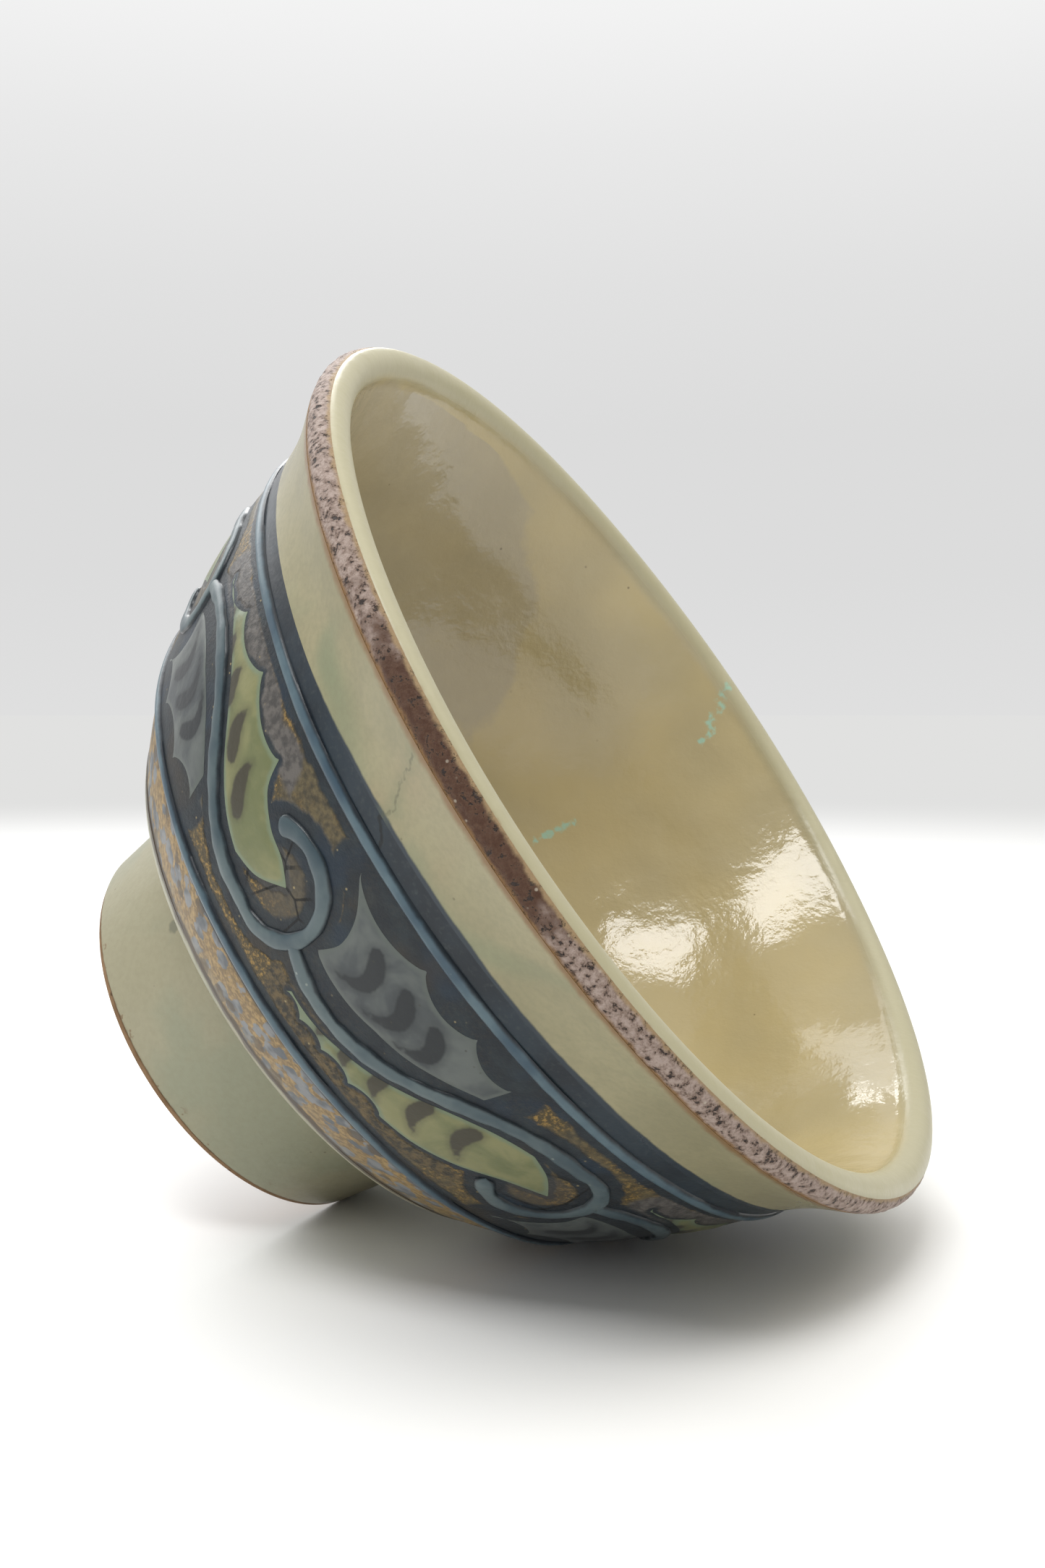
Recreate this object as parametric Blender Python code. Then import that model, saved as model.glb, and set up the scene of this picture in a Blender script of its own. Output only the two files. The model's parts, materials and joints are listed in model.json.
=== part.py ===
"""Footed lather bowl, thrown in two pieces and glazed in bands, lying on its side.

Every piece is modelled upright in the bowl's own frame, with the axis on Z and the foot's edge at
z = 0, and hangs under one empty. The empty leans the bowl over until it rests on the edge of its
foot and on its belly. World frame: floor at z = 0, mouth towards +X, right-hand side towards -Y.
"""

import math

import bmesh
import bpy
import numpy as np
from mathutils import Matrix, Vector

MM = 0.001

# Driving dimensions, in millimetres. Radii are from the bowl's axis, heights from the foot's edge.
SEGMENTS = 44
GLAZE = 0.7
GAP = 0.3
SKIN = GLAZE + GAP

LIP_RADIUS = 2.4
LIP_CENTRE = (62.6, 72.9)
LIP_BAND_TOP = math.radians(48.0)
LIP_BAND_BOTTOM = math.radians(-24.0)

OUTSIDE = [(64.5, 71.4), (61.2, 66.2), (59.0, 60.4), (57.0, 51.5), (53.9, 42.0), (49.9, 32.8), (44.1, 24.9)]
INSIDE = [(60.1, 72.4), (57.6, 67.0), (54.9, 60.0), (52.5, 51.5), (49.0, 43.0), (43.6, 35.0), (34.6, 28.8),
          (20.0, 26.0), (0.0, 25.2)]

# Rows of facets along each profile, and how far the clay and the glaze stop short of the lip.
WALL_ROWS = 11
WALL_OUTER_START = 0.8
WALL_INNER_START = 1.5
WALL_FOOT_MARGIN = 1.2
LINER_ROWS = 12
LINER_BACK_START = 1.2
NECK_START = 0.6
NECK_ROWS = 5
STRIPE_ROWS = 2
FRIEZE_ROWS = 7
COLLAR_ROWS = 4

STRIPE_TOP = 62.1
UPPER_CORD = 58.9
LOWER_CORD = 33.4
CORD_WIDTH = 1.7
CORD_RISE = 0.5
FLAT_TOP = 0.5

FOOT_HEIGHT = 20.0
FOOT_BOTTOM_RADIUS = 29.6
FOOT_TOP_RADIUS = 31.5
FOOT_BORE = 24.0
FOOT_CHAMFER = 0.4
BARE_EDGE = 1.2
SPIGOT_DEPTH = 1.7
SEAT_BEVEL = 0.6

UNDERSIDE_INSET = 0.6
UNDERSIDE_DROP = 0.9
UNDERSIDE_SLANT = 0.4
UNDERSIDE_CLEARANCE = 0.1

WAVES = 8
WAVE_LENGTH = 50.0
WAVE_START = math.radians(-93.0)
WAVE_DRIFT = math.radians(6.4)

# One wave of the scroll, unrolled: x along from the last volute, y towards the wave's crest.
STEM_WIDTH = 2.2
STEM_RISE = 0.5
STEM_STEPS = 2
STEM_LINE = [(9.6, -4.4), (13.0, -5.0), (18.0, -4.9), (24.0, -3.1), (29.0, -0.2), (33.5, 3.0), (38.4, 5.7),
             (43.6, 7.1)]
VOLUTE_CENTRE = (50.2, 0.3)
VOLUTE_RADIUS = 6.9
VOLUTE_START = math.radians(96.0)
VOLUTE_END = math.radians(-128.0)
VOLUTE_POINTS = 13

LEAF_RISE = 0.35
LEAF_COLUMNS = (0.0, 1 / 3, 2 / 3, 1.0)
LEAF_MIN_WIDTH = 0.7
SLATE_FLANK = [(5.5, 9.9), (8.0, 7.6), (9.4, 4.6), (10.2, -0.8)]
SLATE_CUSPS = [(5.5, 10.6), (17.2, 10.7), (26.3, 10.5), (33.0, 9.4)]
SLATE_STATIONS = (5.5, 8.0, 9.4, 10.2, 14.2, 17.2, 21.7, 26.3, 29.8, 33.0)
SLATE_BITE = 1.7
SLATE_GAP = 3.6
GREEN_TOE = [(30.4, -9.0), (36.0, -7.9), (41.2, -5.6), (46.4, -1.9), (51.0, 0.1)]
GREEN_BACK = [(43.0, 4.5), (47.6, 3.0), (51.0, 0.9)]
GREEN_CUSPS = [(12.0, -8.4), (19.2, -9.4), (24.8, -9.4), (30.4, -9.0)]
GREEN_STATIONS = (12.0, 15.6, 19.2, 22.0, 24.8, 27.6, 30.4, 34.0, 38.0, 41.2, 43.0, 46.4, 48.8, 51.0)
GREEN_BITE = 1.0
GREEN_GAP = 2.6


# --- the bowl's outline ---------------------------------------------------------------------

def smooth_curve(points, steps=24):
    """Catmull-Rom curve through the points, as an array of (radius, height)."""
    pts = np.array([points[0]] + list(points) + [points[-1]], float)
    out = []
    for a, b, c, d in zip(pts, pts[1:], pts[2:], pts[3:]):
        for t in np.linspace(0.0, 1.0, steps, endpoint=False):
            out.append(0.5 * (2 * b + (c - a) * t + (2 * a - 5 * b + 4 * c - d) * t ** 2
                              + (3 * b - a - 3 * c + d) * t ** 3))
    out.append(pts[-1])
    return np.array(out)


class Outline:
    """A profile curve measured by arc length from its top end, with offsets along its normal."""

    def __init__(self, points, outward):
        self.curve = smooth_curve(points)
        steps = np.hypot(*np.diff(self.curve, axis=0).T)
        self.arc = np.concatenate([[0.0], np.cumsum(steps)])
        slope = np.gradient(self.curve, self.arc, axis=0)
        self.normal = outward * np.stack([-slope[:, 1], slope[:, 0]], axis=1)
        self.normal[self.curve[:, 0] < 1e-6, 0] = 0.0
        self.length = float(self.arc[-1])

    def at(self, arc, offset=0.0):
        point = [np.interp(arc, self.arc, self.curve[:, i]) for i in (0, 1)]
        normal = [np.interp(arc, self.arc, self.normal[:, i]) for i in (0, 1)]
        size = math.hypot(*normal)
        return (point[0] + offset * normal[0] / size, point[1] + offset * normal[1] / size)

    def arc_at_height(self, height):
        return float(np.interp(-height, -self.curve[:, 1], self.arc))

    def stretch(self, start, end, count, offset=0.0):
        return [self.at(arc, offset) for arc in np.linspace(start, end, count)]


BODY = Outline(OUTSIDE, 1.0)
BASIN = Outline(INSIDE, -1.0)
FRIEZE_TOP = BODY.arc_at_height(UPPER_CORD)
FRIEZE_BOTTOM = BODY.arc_at_height(LOWER_CORD)
FRIEZE_MIDDLE = (FRIEZE_TOP + FRIEZE_BOTTOM) / 2


def lip_arc(start, end, count, radius):
    """Points on the rolled lip, from one angle above the outward horizontal to another."""
    return [(LIP_CENTRE[0] + radius * math.cos(a), LIP_CENTRE[1] + radius * math.sin(a))
            for a in np.linspace(start, end, count)]


# --- shared builders ------------------------------------------------------------------------

def material(name, colour, roughness):
    mat = bpy.data.materials.new(name)
    mat.use_nodes = True
    shader = mat.node_tree.nodes["Principled BSDF"]
    shader.inputs["Base Color"].default_value = (*colour, 1.0)
    shader.inputs["Roughness"].default_value = roughness
    shader.inputs["Metallic"].default_value = 0.0
    mat.diffuse_color = (*colour, 1.0)
    return mat


def add_object(name, bm, mat, parent):
    bmesh.ops.recalc_face_normals(bm, faces=bm.faces)
    mesh = bpy.data.meshes.new(name)
    bm.to_mesh(mesh)
    bm.free()
    for face in mesh.polygons:
        face.use_smooth = True
    mesh.materials.append(mat)
    obj = bpy.data.objects.new(name, mesh)
    bpy.context.scene.collection.objects.link(obj)
    obj.parent = parent
    return obj


def turned(name, outline, mat, parent, closed=True):
    """Spin an outline of (radius, height) points round the axis, with a facet facing +X."""
    bm = bmesh.new()
    first = Matrix.Rotation(math.pi / SEGMENTS, 4, "Z")
    verts = [bm.verts.new(first @ Vector((r * MM, 0.0, z * MM))) for r, z in outline]
    pairs = list(zip(verts, verts[1:]))
    if closed:
        pairs.append((verts[-1], verts[0]))
    edges = [bm.edges.new(pair) for pair in pairs]
    bmesh.ops.spin(bm, geom=verts + edges, axis=(0, 0, 1), cent=(0, 0, 0), angle=2 * math.pi,
                   steps=SEGMENTS, use_merge=True)
    bmesh.ops.remove_doubles(bm, verts=bm.verts, dist=1e-6)
    return add_object(name, bm, mat, parent)


def band(name, start, end, rows, mat, parent):
    """A skin of glaze on the outside of the bowl, between two arc lengths."""
    outline = BODY.stretch(start, end, rows) + BODY.stretch(end, start, rows, -GLAZE)
    return turned(name, outline, mat, parent)


def on_body(angle, arc, lift):
    radius, height = BODY.at(arc, lift)
    return Vector((radius * math.cos(angle), radius * math.sin(angle), height)) * MM


# --- the turned pieces ----------------------------------------------------------------------

def bowl_wall(mat, parent):
    seat = FOOT_TOP_RADIUS - SKIN
    spigot = FOOT_BORE - GAP
    spigot_face = FOOT_HEIGHT - SPIGOT_DEPTH
    outline = [(0.0, spigot_face), (spigot, spigot_face), (spigot, FOOT_HEIGHT), (seat, FOOT_HEIGHT)]
    outline += [(seat + SEAT_BEVEL, FOOT_HEIGHT + SKIN)]
    outline += BODY.stretch(BODY.length - WALL_FOOT_MARGIN, WALL_OUTER_START, WALL_ROWS, -SKIN)
    outline += lip_arc(0.0, math.pi, 6, LIP_RADIUS - SKIN)
    outline += BASIN.stretch(WALL_INNER_START, BASIN.length, WALL_ROWS, -SKIN)
    return turned("bowl_wall", outline, mat, parent, closed=False)


def foot_ring(mat, parent):
    slope = (FOOT_TOP_RADIUS - FOOT_BOTTOM_RADIUS) / FOOT_HEIGHT
    top = FOOT_HEIGHT - GAP
    outline = [(FOOT_BORE, top), (FOOT_TOP_RADIUS - SKIN, top)]
    outline += [(FOOT_BOTTOM_RADIUS - SKIN + slope * BARE_EDGE, BARE_EDGE)]
    outline += [(FOOT_BOTTOM_RADIUS, BARE_EDGE - GAP), (FOOT_BOTTOM_RADIUS, FOOT_CHAMFER)]
    outline += [(FOOT_BOTTOM_RADIUS - FOOT_CHAMFER, 0.0), (FOOT_BORE + FOOT_CHAMFER, 0.0)]
    outline += [(FOOT_BORE, FOOT_CHAMFER)]
    return turned("foot_ring", outline, mat, parent)


def interior_glaze(mat, parent):
    face = BASIN.stretch(0.0, BASIN.length, LINER_ROWS)
    back = BASIN.stretch(BASIN.length, LINER_BACK_START, LINER_ROWS - 1, -GLAZE)
    lip_top = lip_arc(math.pi, LIP_BAND_TOP, 7, LIP_RADIUS)
    lip_back = lip_arc(LIP_BAND_TOP, math.pi, 6, LIP_RADIUS - GLAZE)
    outline = list(reversed(face)) + lip_top + lip_back + list(reversed(back))
    return turned("interior_glaze", outline, mat, parent, closed=False)


def lip_iron_band(mat, parent):
    gap_angle = GAP / LIP_RADIUS
    outer = lip_arc(LIP_BAND_TOP - gap_angle, LIP_BAND_BOTTOM, 5, LIP_RADIUS)
    inner = lip_arc(LIP_BAND_BOTTOM, LIP_BAND_TOP - gap_angle, 5, LIP_RADIUS - GLAZE)
    return turned("lip_iron_band", outer + inner, mat, parent)


def slip_cord(name, middle, mat, parent):
    """A raised line of slip, rounded on its outside."""
    half = CORD_WIDTH / 2
    flat = half * FLAT_TOP
    outline = [BODY.at(middle - half, -GLAZE), BODY.at(middle - half, 0.0)]
    outline += [BODY.at(middle - flat, CORD_RISE), BODY.at(middle + flat, CORD_RISE)]
    outline += [BODY.at(middle + half, 0.0), BODY.at(middle + half, -GLAZE)]
    return turned(name, outline, mat, parent)


def underside_glaze(mat, parent):
    rim = BODY.at(BODY.length, -GLAZE)
    outer = (rim[0] - UNDERSIDE_INSET, rim[1] - UNDERSIDE_DROP)
    inner = (FOOT_TOP_RADIUS + GAP, FOOT_HEIGHT + UNDERSIDE_CLEARANCE)
    outline = [outer, inner, (inner[0], inner[1] + GLAZE), (outer[0] - UNDERSIDE_SLANT, outer[1] + GLAZE)]
    return turned("underside_glaze", outline, mat, parent)


def foot_glaze(mat, parent):
    slope = (FOOT_TOP_RADIUS - FOOT_BOTTOM_RADIUS) / FOOT_HEIGHT
    low = BARE_EDGE + GAP
    high = FOOT_HEIGHT - GAP
    outer = [(FOOT_BOTTOM_RADIUS + slope * z, z) for z in (high, low)]
    inner = [(FOOT_BOTTOM_RADIUS + slope * z - GLAZE, z) for z in (low, high)]
    return turned("foot_glaze", outer + inner, mat, parent)


# --- the scrolling frieze -------------------------------------------------------------------

def wave_angle(phase):
    """Angle round the bowl of a place on the frieze; the waves drift from wide to narrow."""
    turn = 2 * math.pi * phase / WAVES
    return WAVE_START + turn + WAVE_DRIFT * math.sin(turn)


def on_frieze(wave, x, y, lift):
    """A point of one wave: x along from its volute, y towards the wave's crest, in millimetres."""
    side = 1.0 if wave % 2 == 0 else -1.0
    return on_body(wave_angle(wave + x / WAVE_LENGTH), FRIEZE_MIDDLE - side * y, lift)


def volute():
    """Middle line of the curl at the end of a stem."""
    return [(VOLUTE_CENTRE[0] + VOLUTE_RADIUS * math.cos(a), VOLUTE_CENTRE[1] + VOLUTE_RADIUS * math.sin(a))
            for a in np.linspace(VOLUTE_START, VOLUTE_END, VOLUTE_POINTS)]


CURL = volute()
RISE = [tuple(p) for p in smooth_curve(STEM_LINE + [CURL[0]], STEM_STEPS)]


def height_along(line, x):
    xs, ys = zip(*line)
    return float(np.interp(x, xs, ys))


def stem_height(x):
    """Height of the rising part of a stem at a place along it."""
    return height_along(RISE, x)


def scallop(cusps, depth, x):
    """Height of an edge that runs through the cusps and is bitten in between them."""
    for (left, _), (right, _) in zip(cusps, cusps[1:]):
        if left <= x <= right:
            return height_along(cusps, x) - depth * math.sin(math.pi * (x - left) / (right - left))
    return height_along(cusps, x)


def scroll_stem(wave, mat, parent):
    """A trailed line of slip with a flat back and a rounded top, laid on the frieze ground."""
    path = [Vector(p) for p in RISE + CURL[1:]]
    half = STEM_WIDTH / 2
    flat = half * FLAT_TOP
    top = GAP + STEM_RISE
    section = [(-half, GAP), (half, GAP), (flat, top), (-flat, top)]
    bm = bmesh.new()
    rings = []
    for i, point in enumerate(path):
        along = path[min(i + 1, len(path) - 1)] - path[max(i - 1, 0)]
        across = Vector((-along.y, along.x)).normalized()
        places = [(point + across * offset, lift) for offset, lift in section]
        rings.append([bm.verts.new(on_frieze(wave, p.x, p.y, lift)) for p, lift in places])
    for a, b in zip(rings, rings[1:]):
        for i in range(len(section)):
            j = (i + 1) % len(section)
            bm.faces.new((a[i], a[j], b[j], b[i]))
    bm.faces.new(rings[0])
    bm.faces.new(rings[-1])
    return add_object(f"scroll_stem_{wave + 1}", bm, mat, parent)


def around(rows):
    """The border of a grid of vertices, in order."""
    left = [row[0] for row in rows]
    right = [row[-1] for row in rows]
    return left + rows[-1][1:-1] + right[::-1] + rows[0][-2:0:-1]


def leaf(name, wave, edges, mat, parent):
    """A leaf panel between a near and a far edge, each a list of matching (x, y) points."""
    bm = bmesh.new()
    layers = []
    for lift in (GAP, GAP + LEAF_RISE):
        rows = []
        for near, far in edges:
            places = [Vector(near).lerp(Vector(far), t) for t in LEAF_COLUMNS]
            rows.append([bm.verts.new(on_frieze(wave, p.x, p.y, lift)) for p in places])
        layers.append(rows)
    for rows in layers:
        for a, b in zip(rows, rows[1:]):
            for i in range(len(LEAF_COLUMNS) - 1):
                bm.faces.new((a[i], a[i + 1], b[i + 1], b[i]))
    low, high = (around(rows) for rows in layers)
    for i in range(len(low)):
        j = (i + 1) % len(low)
        bm.faces.new((low[i], low[j], high[j], high[i]))
    return add_object(name, bm, mat, parent)


def slate_leaf(wave, mat, parent):
    """The leaf on the outer side of a stem."""
    edges = []
    for x in SLATE_STATIONS:
        on_flank = x <= SLATE_FLANK[-1][0]
        near = height_along(SLATE_FLANK, x) if on_flank else stem_height(x) + SLATE_GAP
        far = scallop(SLATE_CUSPS, SLATE_BITE, x)
        edges.append(((x, min(near, far - LEAF_MIN_WIDTH)), (x, far)))
    return leaf(f"slate_leaf_{wave + 1}", wave, edges, mat, parent)


def green_leaf(wave, mat, parent):
    """The leaf on the inner side of a stem, ending in the volute's eye."""
    edges = []
    for x in GREEN_STATIONS:
        near = height_along(GREEN_BACK, x) if x > GREEN_BACK[0][0] else stem_height(x) - GREEN_GAP
        on_toe = x > GREEN_TOE[0][0]
        far = height_along(GREEN_TOE, x) if on_toe else scallop(GREEN_CUSPS, -GREEN_BITE, x)
        edges.append(((x, near), (x, min(far, near - LEAF_MIN_WIDTH))))
    return leaf(f"green_leaf_{wave + 1}", wave, edges, mat, parent)


# --- the whole bowl -------------------------------------------------------------------------

def clear_scene():
    for obj in list(bpy.data.objects):
        bpy.data.objects.remove(obj, do_unlink=True)


def lean_angle():
    """Angle between the bowl's axis and the floor when foot edge and lower cord both touch it."""
    touch = BODY.at(FRIEZE_BOTTOM, CORD_RISE)
    return math.atan2(touch[0] - FOOT_BOTTOM_RADIUS, touch[1] - FOOT_CHAMFER)


def lay_down(root):
    """Lean the bowl towards +X, drop it on the floor, and centre it over the origin."""
    root.rotation_euler = (0.0, math.pi / 2 - lean_angle(), 0.0)
    bpy.context.view_layer.update()
    places = [o.matrix_world @ v.co for o in root.children for v in o.data.vertices]
    low = Vector([min(p[i] for p in places) for i in range(3)])
    high = Vector([max(p[i] for p in places) for i in range(3)])
    root.location = (-(low.x + high.x) / 2, -(low.y + high.y) / 2, -low.z)
    bpy.context.view_layer.update()


def build():
    clear_scene()
    root = bpy.data.objects.new("bowl_frame", None)
    bpy.context.scene.collection.objects.link(root)

    clay = material("clay", (0.40, 0.27, 0.18), 0.85)
    cream = material("cream_liner", (0.47, 0.42, 0.27), 0.12)
    iron = material("iron_wash", (0.13, 0.075, 0.055), 0.7)
    celadon = material("celadon", (0.39, 0.39, 0.24), 0.22)
    foot_celadon = material("foot_celadon", (0.36, 0.37, 0.26), 0.25)
    navy = material("navy", (0.035, 0.05, 0.065), 0.3)
    slip = material("blue_slip", (0.17, 0.24, 0.29), 0.25)
    ground = material("ochre_ground", (0.13, 0.10, 0.06), 0.35)
    slate = material("slate", (0.12, 0.14, 0.14), 0.28)
    green = material("leaf_green", (0.32, 0.33, 0.17), 0.28)
    speckle = material("speckle", (0.36, 0.31, 0.24), 0.35)

    bowl_wall(clay, root)
    foot_ring(clay, root)
    interior_glaze(cream, root)
    lip_iron_band(iron, root)
    half = CORD_WIDTH / 2 + GAP
    stripe_top = BODY.arc_at_height(STRIPE_TOP)
    band("neck_glaze", NECK_START, stripe_top, NECK_ROWS, celadon, root)
    band("navy_stripe", stripe_top + GAP, FRIEZE_TOP - half, STRIPE_ROWS, navy, root)
    slip_cord("upper_slip_cord", FRIEZE_TOP, slip, root)
    band("frieze_ground", FRIEZE_TOP + half, FRIEZE_BOTTOM - half, FRIEZE_ROWS, ground, root)
    slip_cord("lower_slip_cord", FRIEZE_BOTTOM, slip, root)
    band("speckled_collar", FRIEZE_BOTTOM + half, BODY.length, COLLAR_ROWS, speckle, root)
    underside_glaze(foot_celadon, root)
    foot_glaze(foot_celadon, root)
    for wave in range(WAVES):
        scroll_stem(wave, slip, root)
        slate_leaf(wave, slate, root)
        green_leaf(wave, green, root)
    lay_down(root)


build()
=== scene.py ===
"""Looks for the footed lather bowl: a thrown, glazed and slip-trailed stoneware bowl on its side."""

import json
import math

import bmesh
import bpy
import numpy as np
from mathutils import Matrix, Vector, geometry, kdtree


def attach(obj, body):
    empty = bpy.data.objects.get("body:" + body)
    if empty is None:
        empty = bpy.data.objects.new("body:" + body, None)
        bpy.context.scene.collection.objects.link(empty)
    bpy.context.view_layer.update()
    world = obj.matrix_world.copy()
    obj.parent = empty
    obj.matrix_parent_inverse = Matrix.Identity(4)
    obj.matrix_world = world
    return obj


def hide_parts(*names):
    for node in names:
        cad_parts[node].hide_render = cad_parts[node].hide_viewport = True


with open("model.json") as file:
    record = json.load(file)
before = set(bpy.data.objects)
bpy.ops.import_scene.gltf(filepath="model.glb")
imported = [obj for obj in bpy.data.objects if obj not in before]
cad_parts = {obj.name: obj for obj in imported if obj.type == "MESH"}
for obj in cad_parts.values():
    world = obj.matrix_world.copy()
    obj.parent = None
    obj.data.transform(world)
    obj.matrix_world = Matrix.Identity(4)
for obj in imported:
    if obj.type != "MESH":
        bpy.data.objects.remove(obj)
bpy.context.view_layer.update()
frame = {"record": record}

MM = 0.001

# The bowl's outline in millimetres, the same as in the CAD source.
LIP_CENTRE = (62.6, 72.9)
LIP_RADIUS = 2.4
IRON_TOP = math.radians(48.0)
OUTSIDE = [(64.5, 71.4), (61.2, 66.2), (59.0, 60.4), (57.0, 51.5), (53.9, 42.0), (49.9, 32.8), (44.1, 24.9)]
INSIDE = [(60.1, 72.4), (57.6, 67.0), (54.9, 60.0), (52.5, 51.5), (49.0, 43.0), (43.6, 35.0), (34.6, 28.8),
          (20.0, 26.0), (0.0, 25.2)]
FOOT_HEIGHT = 20.0
FOOT_BOTTOM_RADIUS = 29.6
FOOT_TOP_RADIUS = 31.5
FOOT_BORE = 24.0
SPIGOT_RADIUS = 23.7
SPIGOT_DEPTH = 1.7
REST_RADIUS = (FOOT_BORE + FOOT_BOTTOM_RADIUS) / 2
STRIPE_TOP = 62.1
UPPER_CORD = 58.9
LOWER_CORD = 33.4
CORD_WIDTH = 1.7
CORD_RISE = 0.5

GLAZE = 0.7
CLAY_INSET = 1.0
CLAY_LIP = 0.58
STEADY_RADIUS = 15.0  # the wall's unevenness fades out inside it
FAR = 9.0  # stands for far away in the distance fields

# The scrolling frieze.
WAVES = 8
WAVE_LENGTH = 50.0
WAVE_START = math.radians(-93.0)
WAVE_DRIFT = math.radians(6.4)
VOLUTE = (50.2, 0.3)
VOLUTE_RADIUS = 7.1
VOLUTE_TURN = (100.0, -142.0)
STEM_LINE = [(7.0, -3.4), (12.2, -4.9), (18.0, -4.9), (24.0, -3.1), (29.0, -0.2), (33.5, 3.0), (38.4, 5.7),
             (43.6, 7.1)]
STEM_WIDTH = 2.4
STEM_RISE = 0.55
STEM_ROOT = -0.35
DARK_LINE = 1.5
LEAF_ROUNDING = 0.45
LEAF_ROOT = -0.25
LEAF_EDGE_STEP = 0.28
LEAF_FILL_STEP = 0.8


# --- the bowl's own frame and outline ---

def bowl_frame():
    """Matrix from bowl coordinates, with the axis on Z and the foot's edge at z = 0, to the row's frame."""
    rest = next(m for m in frame["record"]["mounts"] if m["name"] == "foot_rest")
    axis = -Vector(rest["axis"]).normalized()
    side = Vector((0.0, 1.0, 0.0))
    down = side.cross(axis).normalized()
    centre = Vector(rest["pos_m"]) + REST_RADIUS * MM * down
    turn = Matrix((down, side, axis)).transposed().to_4x4()
    return Matrix.Translation(centre) @ turn


BOWL = bowl_frame()


def smooth_curve(points, steps=40):
    """Catmull-Rom curve through (radius, height) points."""
    pts = np.array([points[0]] + list(points) + [points[-1]], float)
    out = []
    for a, b, c, d in zip(pts, pts[1:], pts[2:], pts[3:]):
        for t in np.linspace(0.0, 1.0, steps, endpoint=False):
            out.append(0.5 * (2 * b + (c - a) * t + (2 * a - 5 * b + 4 * c - d) * t ** 2
                              + (3 * b - a - 3 * c + d) * t ** 3))
    out.append(pts[-1])
    return np.array(out)


def lip_points(start, end, count):
    """(radius, height) points round the rolled lip."""
    angles = np.linspace(start, end, count)
    return np.array(LIP_CENTRE) + LIP_RADIUS * np.stack([np.cos(angles), np.sin(angles)], 1)


OUTLINE_STEP = 0.05


def running_length(points):
    """Length along a line of points, up to each of them."""
    return np.concatenate([[0.0], np.cumsum(np.hypot(*np.diff(points, axis=0).T))])


class Outline:
    """A profile curve measured by arc length from its start, with offsets along its normal."""

    def __init__(self, curve, outward, soften):
        steps = np.hypot(*np.diff(curve, axis=0).T)
        curve = curve[np.concatenate([[True], steps > 1e-6])]
        arc = running_length(curve)
        self.length = float(arc[-1])
        self.arc = np.linspace(0.0, self.length, int(self.length / OUTLINE_STEP))
        self.curve = np.stack([np.interp(self.arc, arc, curve[:, i]) for i in (0, 1)], 1)
        width = int(soften / OUTLINE_STEP)
        padded = np.pad(self.curve, ((width, width), (0, 0)), mode="reflect", reflect_type="odd")
        kernel = np.ones(2 * width + 1) / (2 * width + 1)
        self.curve = np.stack([np.convolve(padded[:, i], kernel, "valid") for i in (0, 1)], 1)
        slope = np.gradient(self.curve, self.arc, axis=0)
        normal = outward * np.stack([-slope[:, 1], slope[:, 0]], axis=1)
        normal[self.curve[:, 0] < 1e-3, 0] = 0.0
        self.normal = normal / np.linalg.norm(normal, axis=1)[:, None]

    def at(self, arc, offset=0.0):
        """Radii and heights at arc lengths, moved out along the normal."""
        arc = np.asarray(arc, float)
        point = [np.interp(arc, self.arc, self.curve[:, i]) for i in (0, 1)]
        normal = [np.interp(arc, self.arc, self.normal[:, i]) for i in (0, 1)]
        return point[0] + offset * normal[0], point[1] + offset * normal[1]

    def place(self, angle, arc, offset=0.0):
        """Points in bowl coordinates, in metres."""
        radius, height = self.at(arc, offset)
        return np.stack([radius * np.cos(angle), radius * np.sin(angle), height + 0 * angle], -1) * MM

    def arc_at_height(self, height, after=0.0):
        """Arc length at which the falling outline passes a height."""
        later = self.arc >= after
        return float(np.interp(-height, -self.curve[later, 1], self.arc[later]))


IRON_BOTTOM = math.radians(-38.7)
LIP_OUTER = lip_points(IRON_TOP, IRON_BOTTOM, 30)
SKIN = Outline(np.concatenate([LIP_OUTER, smooth_curve(OUTSIDE)[1:]]), 1.0, soften=0.5)
LINER_START = IRON_TOP - 0.15
LINER_LEAD = 0.15 * LIP_RADIUS
LIP_INNER = lip_points(LINER_START, math.pi, 60)
LINER = Outline(np.concatenate([LIP_INNER, smooth_curve(INSIDE)]), -1.0, soften=0.4)
SIDE_TOP, SIDE_DROP, SIDE_TAPER = 19.0, 18.2, 1.9
SEAT = [(44.1, 24.9), (42.6, 23.3), (38.0, 21.6), (33.4, 20.4), (31.9, 19.9), (FOOT_TOP_RADIUS, SIDE_TOP)]
SIDE = [(FOOT_TOP_RADIUS - SIDE_TAPER * t, SIDE_TOP - SIDE_DROP * t) for t in np.linspace(0.1, 1.0, 10)]
UNDER = Outline(smooth_curve(SEAT + SIDE, 16), 1.0, soften=0.4)

BELLY = 6.0
IRON_END = SKIN.arc_at_height(71.6, 1.5)
STRIPE = SKIN.arc_at_height(STRIPE_TOP, BELLY)
TOP_CORD = SKIN.arc_at_height(UPPER_CORD, BELLY)
LOW_CORD = SKIN.arc_at_height(LOWER_CORD, BELLY)
MIDDLE = (TOP_CORD + LOW_CORD) / 2
HALF_CORD = CORD_WIDTH / 2
COLLAR_EDGE = 54.3


# --- hand-made irregularity ---

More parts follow.
